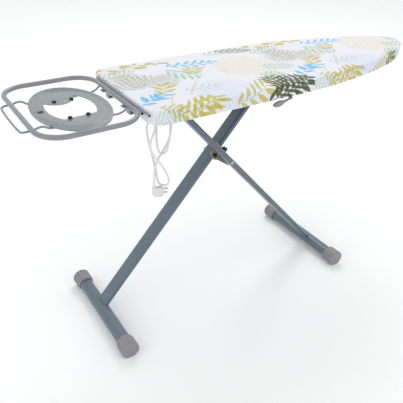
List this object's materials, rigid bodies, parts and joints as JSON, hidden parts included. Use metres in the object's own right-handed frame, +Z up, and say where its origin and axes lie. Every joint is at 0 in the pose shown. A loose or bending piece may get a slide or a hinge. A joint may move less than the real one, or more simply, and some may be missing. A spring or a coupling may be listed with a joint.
{
  "type": "ironing board",
  "caption": "Standing ironing board with a printed cotton cover, crossed flat-oval steel legs on foot bars, a tube iron rest with an oval plate, a height lever and a hanging mains lead.",
  "frame": {"origin": "on the floor, under the middle of the object's overall length and width", "axes": "+X along the board from the iron rest to the nose, +Y across it to the side away from the lever, +Z up"},
  "size_m": [1.5133, 0.44, 0.843],
  "materials": {
    "blue_grey_paint": "satin",
    "silver_paint": "satin",
    "plate_paint": "satin",
    "deck_steel": "satin",
    "galvanised": "satin",
    "zinc_plate": "satin",
    "bright_steel": "satin",
    "grey_plastic": "matt",
    "black_rubber": "matt",
    "black_steel": "matt",
    "nylon": "matt",
    "white_plastic": "gloss",
    "felt": "matt",
    "cotton": "matt",
    "brass": "satin",
    "bumper_plastic": "matt",
    "braid": "matt"
  },
  "bodies": {
    "board": {"deck_sheet": "deck_steel", "deck_frame": "deck_steel", "felt_pad": "felt", "printed_cover": "cotton", "drawcord": "braid", "cord_toggle": "white_plastic", "near_rail": "galvanised", "far_rail": "galvanised", "cross_members": "galvanised", "rail_rivets": "bright_steel", "height_rack": "galvanised", "end_bar": "silver_paint", "end_bar_bolts": "black_steel", "rest_brackets": "silver_paint", "rest_bracket_bolts": "bright_steel", "bracket_spacers": "bright_steel", "rest_loop": "silver_paint", "rest_wire": "silver_paint", "rest_plate": "plate_paint", "rest_studs": "black_rubber", "socket_box": "white_plastic", "socket_contacts": "brass", "socket_screws": "bright_steel", "lead_gland": "white_plastic", "mains_lead": "white_plastic", "plug_body": "white_plastic", "plug_pins": "brass", "hinge_pin": "bright_steel", "hinge_pin_clips": "black_steel", "lever_spring": "bright_steel", "shaft_clips": "black_steel"},
    "rear_leg": {"rear_leg_tube": "blue_grey_paint", "rear_foot_bar": "blue_grey_paint", "rear_foot_caps": "grey_plastic", "hinge_bracket": "zinc_plate", "hinge_sleeve": "nylon", "crossing_plate": "zinc_plate", "crossing_rivet": "bright_steel", "crossing_bolt": "black_steel", "crossing_nut": "bright_steel", "leg_bumper": "bumper_plastic"},
    "front_leg": {"front_leg_tube": "blue_grey_paint", "front_foot_bar": "blue_grey_paint", "front_foot_caps": "grey_plastic", "pivot_bush": "nylon", "slide_axle": "bright_steel", "slide_rollers": "nylon", "axle_sleeve": "nylon", "axle_clips": "black_steel"},
    "lever": {"lever_shaft": "bright_steel", "lever_grip": "grey_plastic", "locking_pawl": "galvanised"}
  },
  "joints": [
    {"name": "leg_fold", "type": "hinge", "parent": "board", "child": "rear_leg", "pos_m": [-0.3098, 0, 0.783], "axis": [0, 1, 0], "range_deg": [-44.5, 4]},
    {"name": "leg_cross", "type": "hinge", "parent": "rear_leg", "child": "front_leg", "pos_m": [-0.09233, 0, 0.54148], "axis": [0, 1, 0], "range_deg": [-8, 89]},
    {"name": "height_lever", "type": "hinge", "parent": "board", "child": "lever", "pos_m": [0.0437, 0, 0.797], "axis": [0, 1, 0], "range_deg": [0, 8], "stiffness_Nm_per_rad": 2, "springref_deg": -6.88}
  ],
  "couplings": [
    {"joint": "leg_cross", "follows": "leg_fold", "ratio": -2}
  ]
}
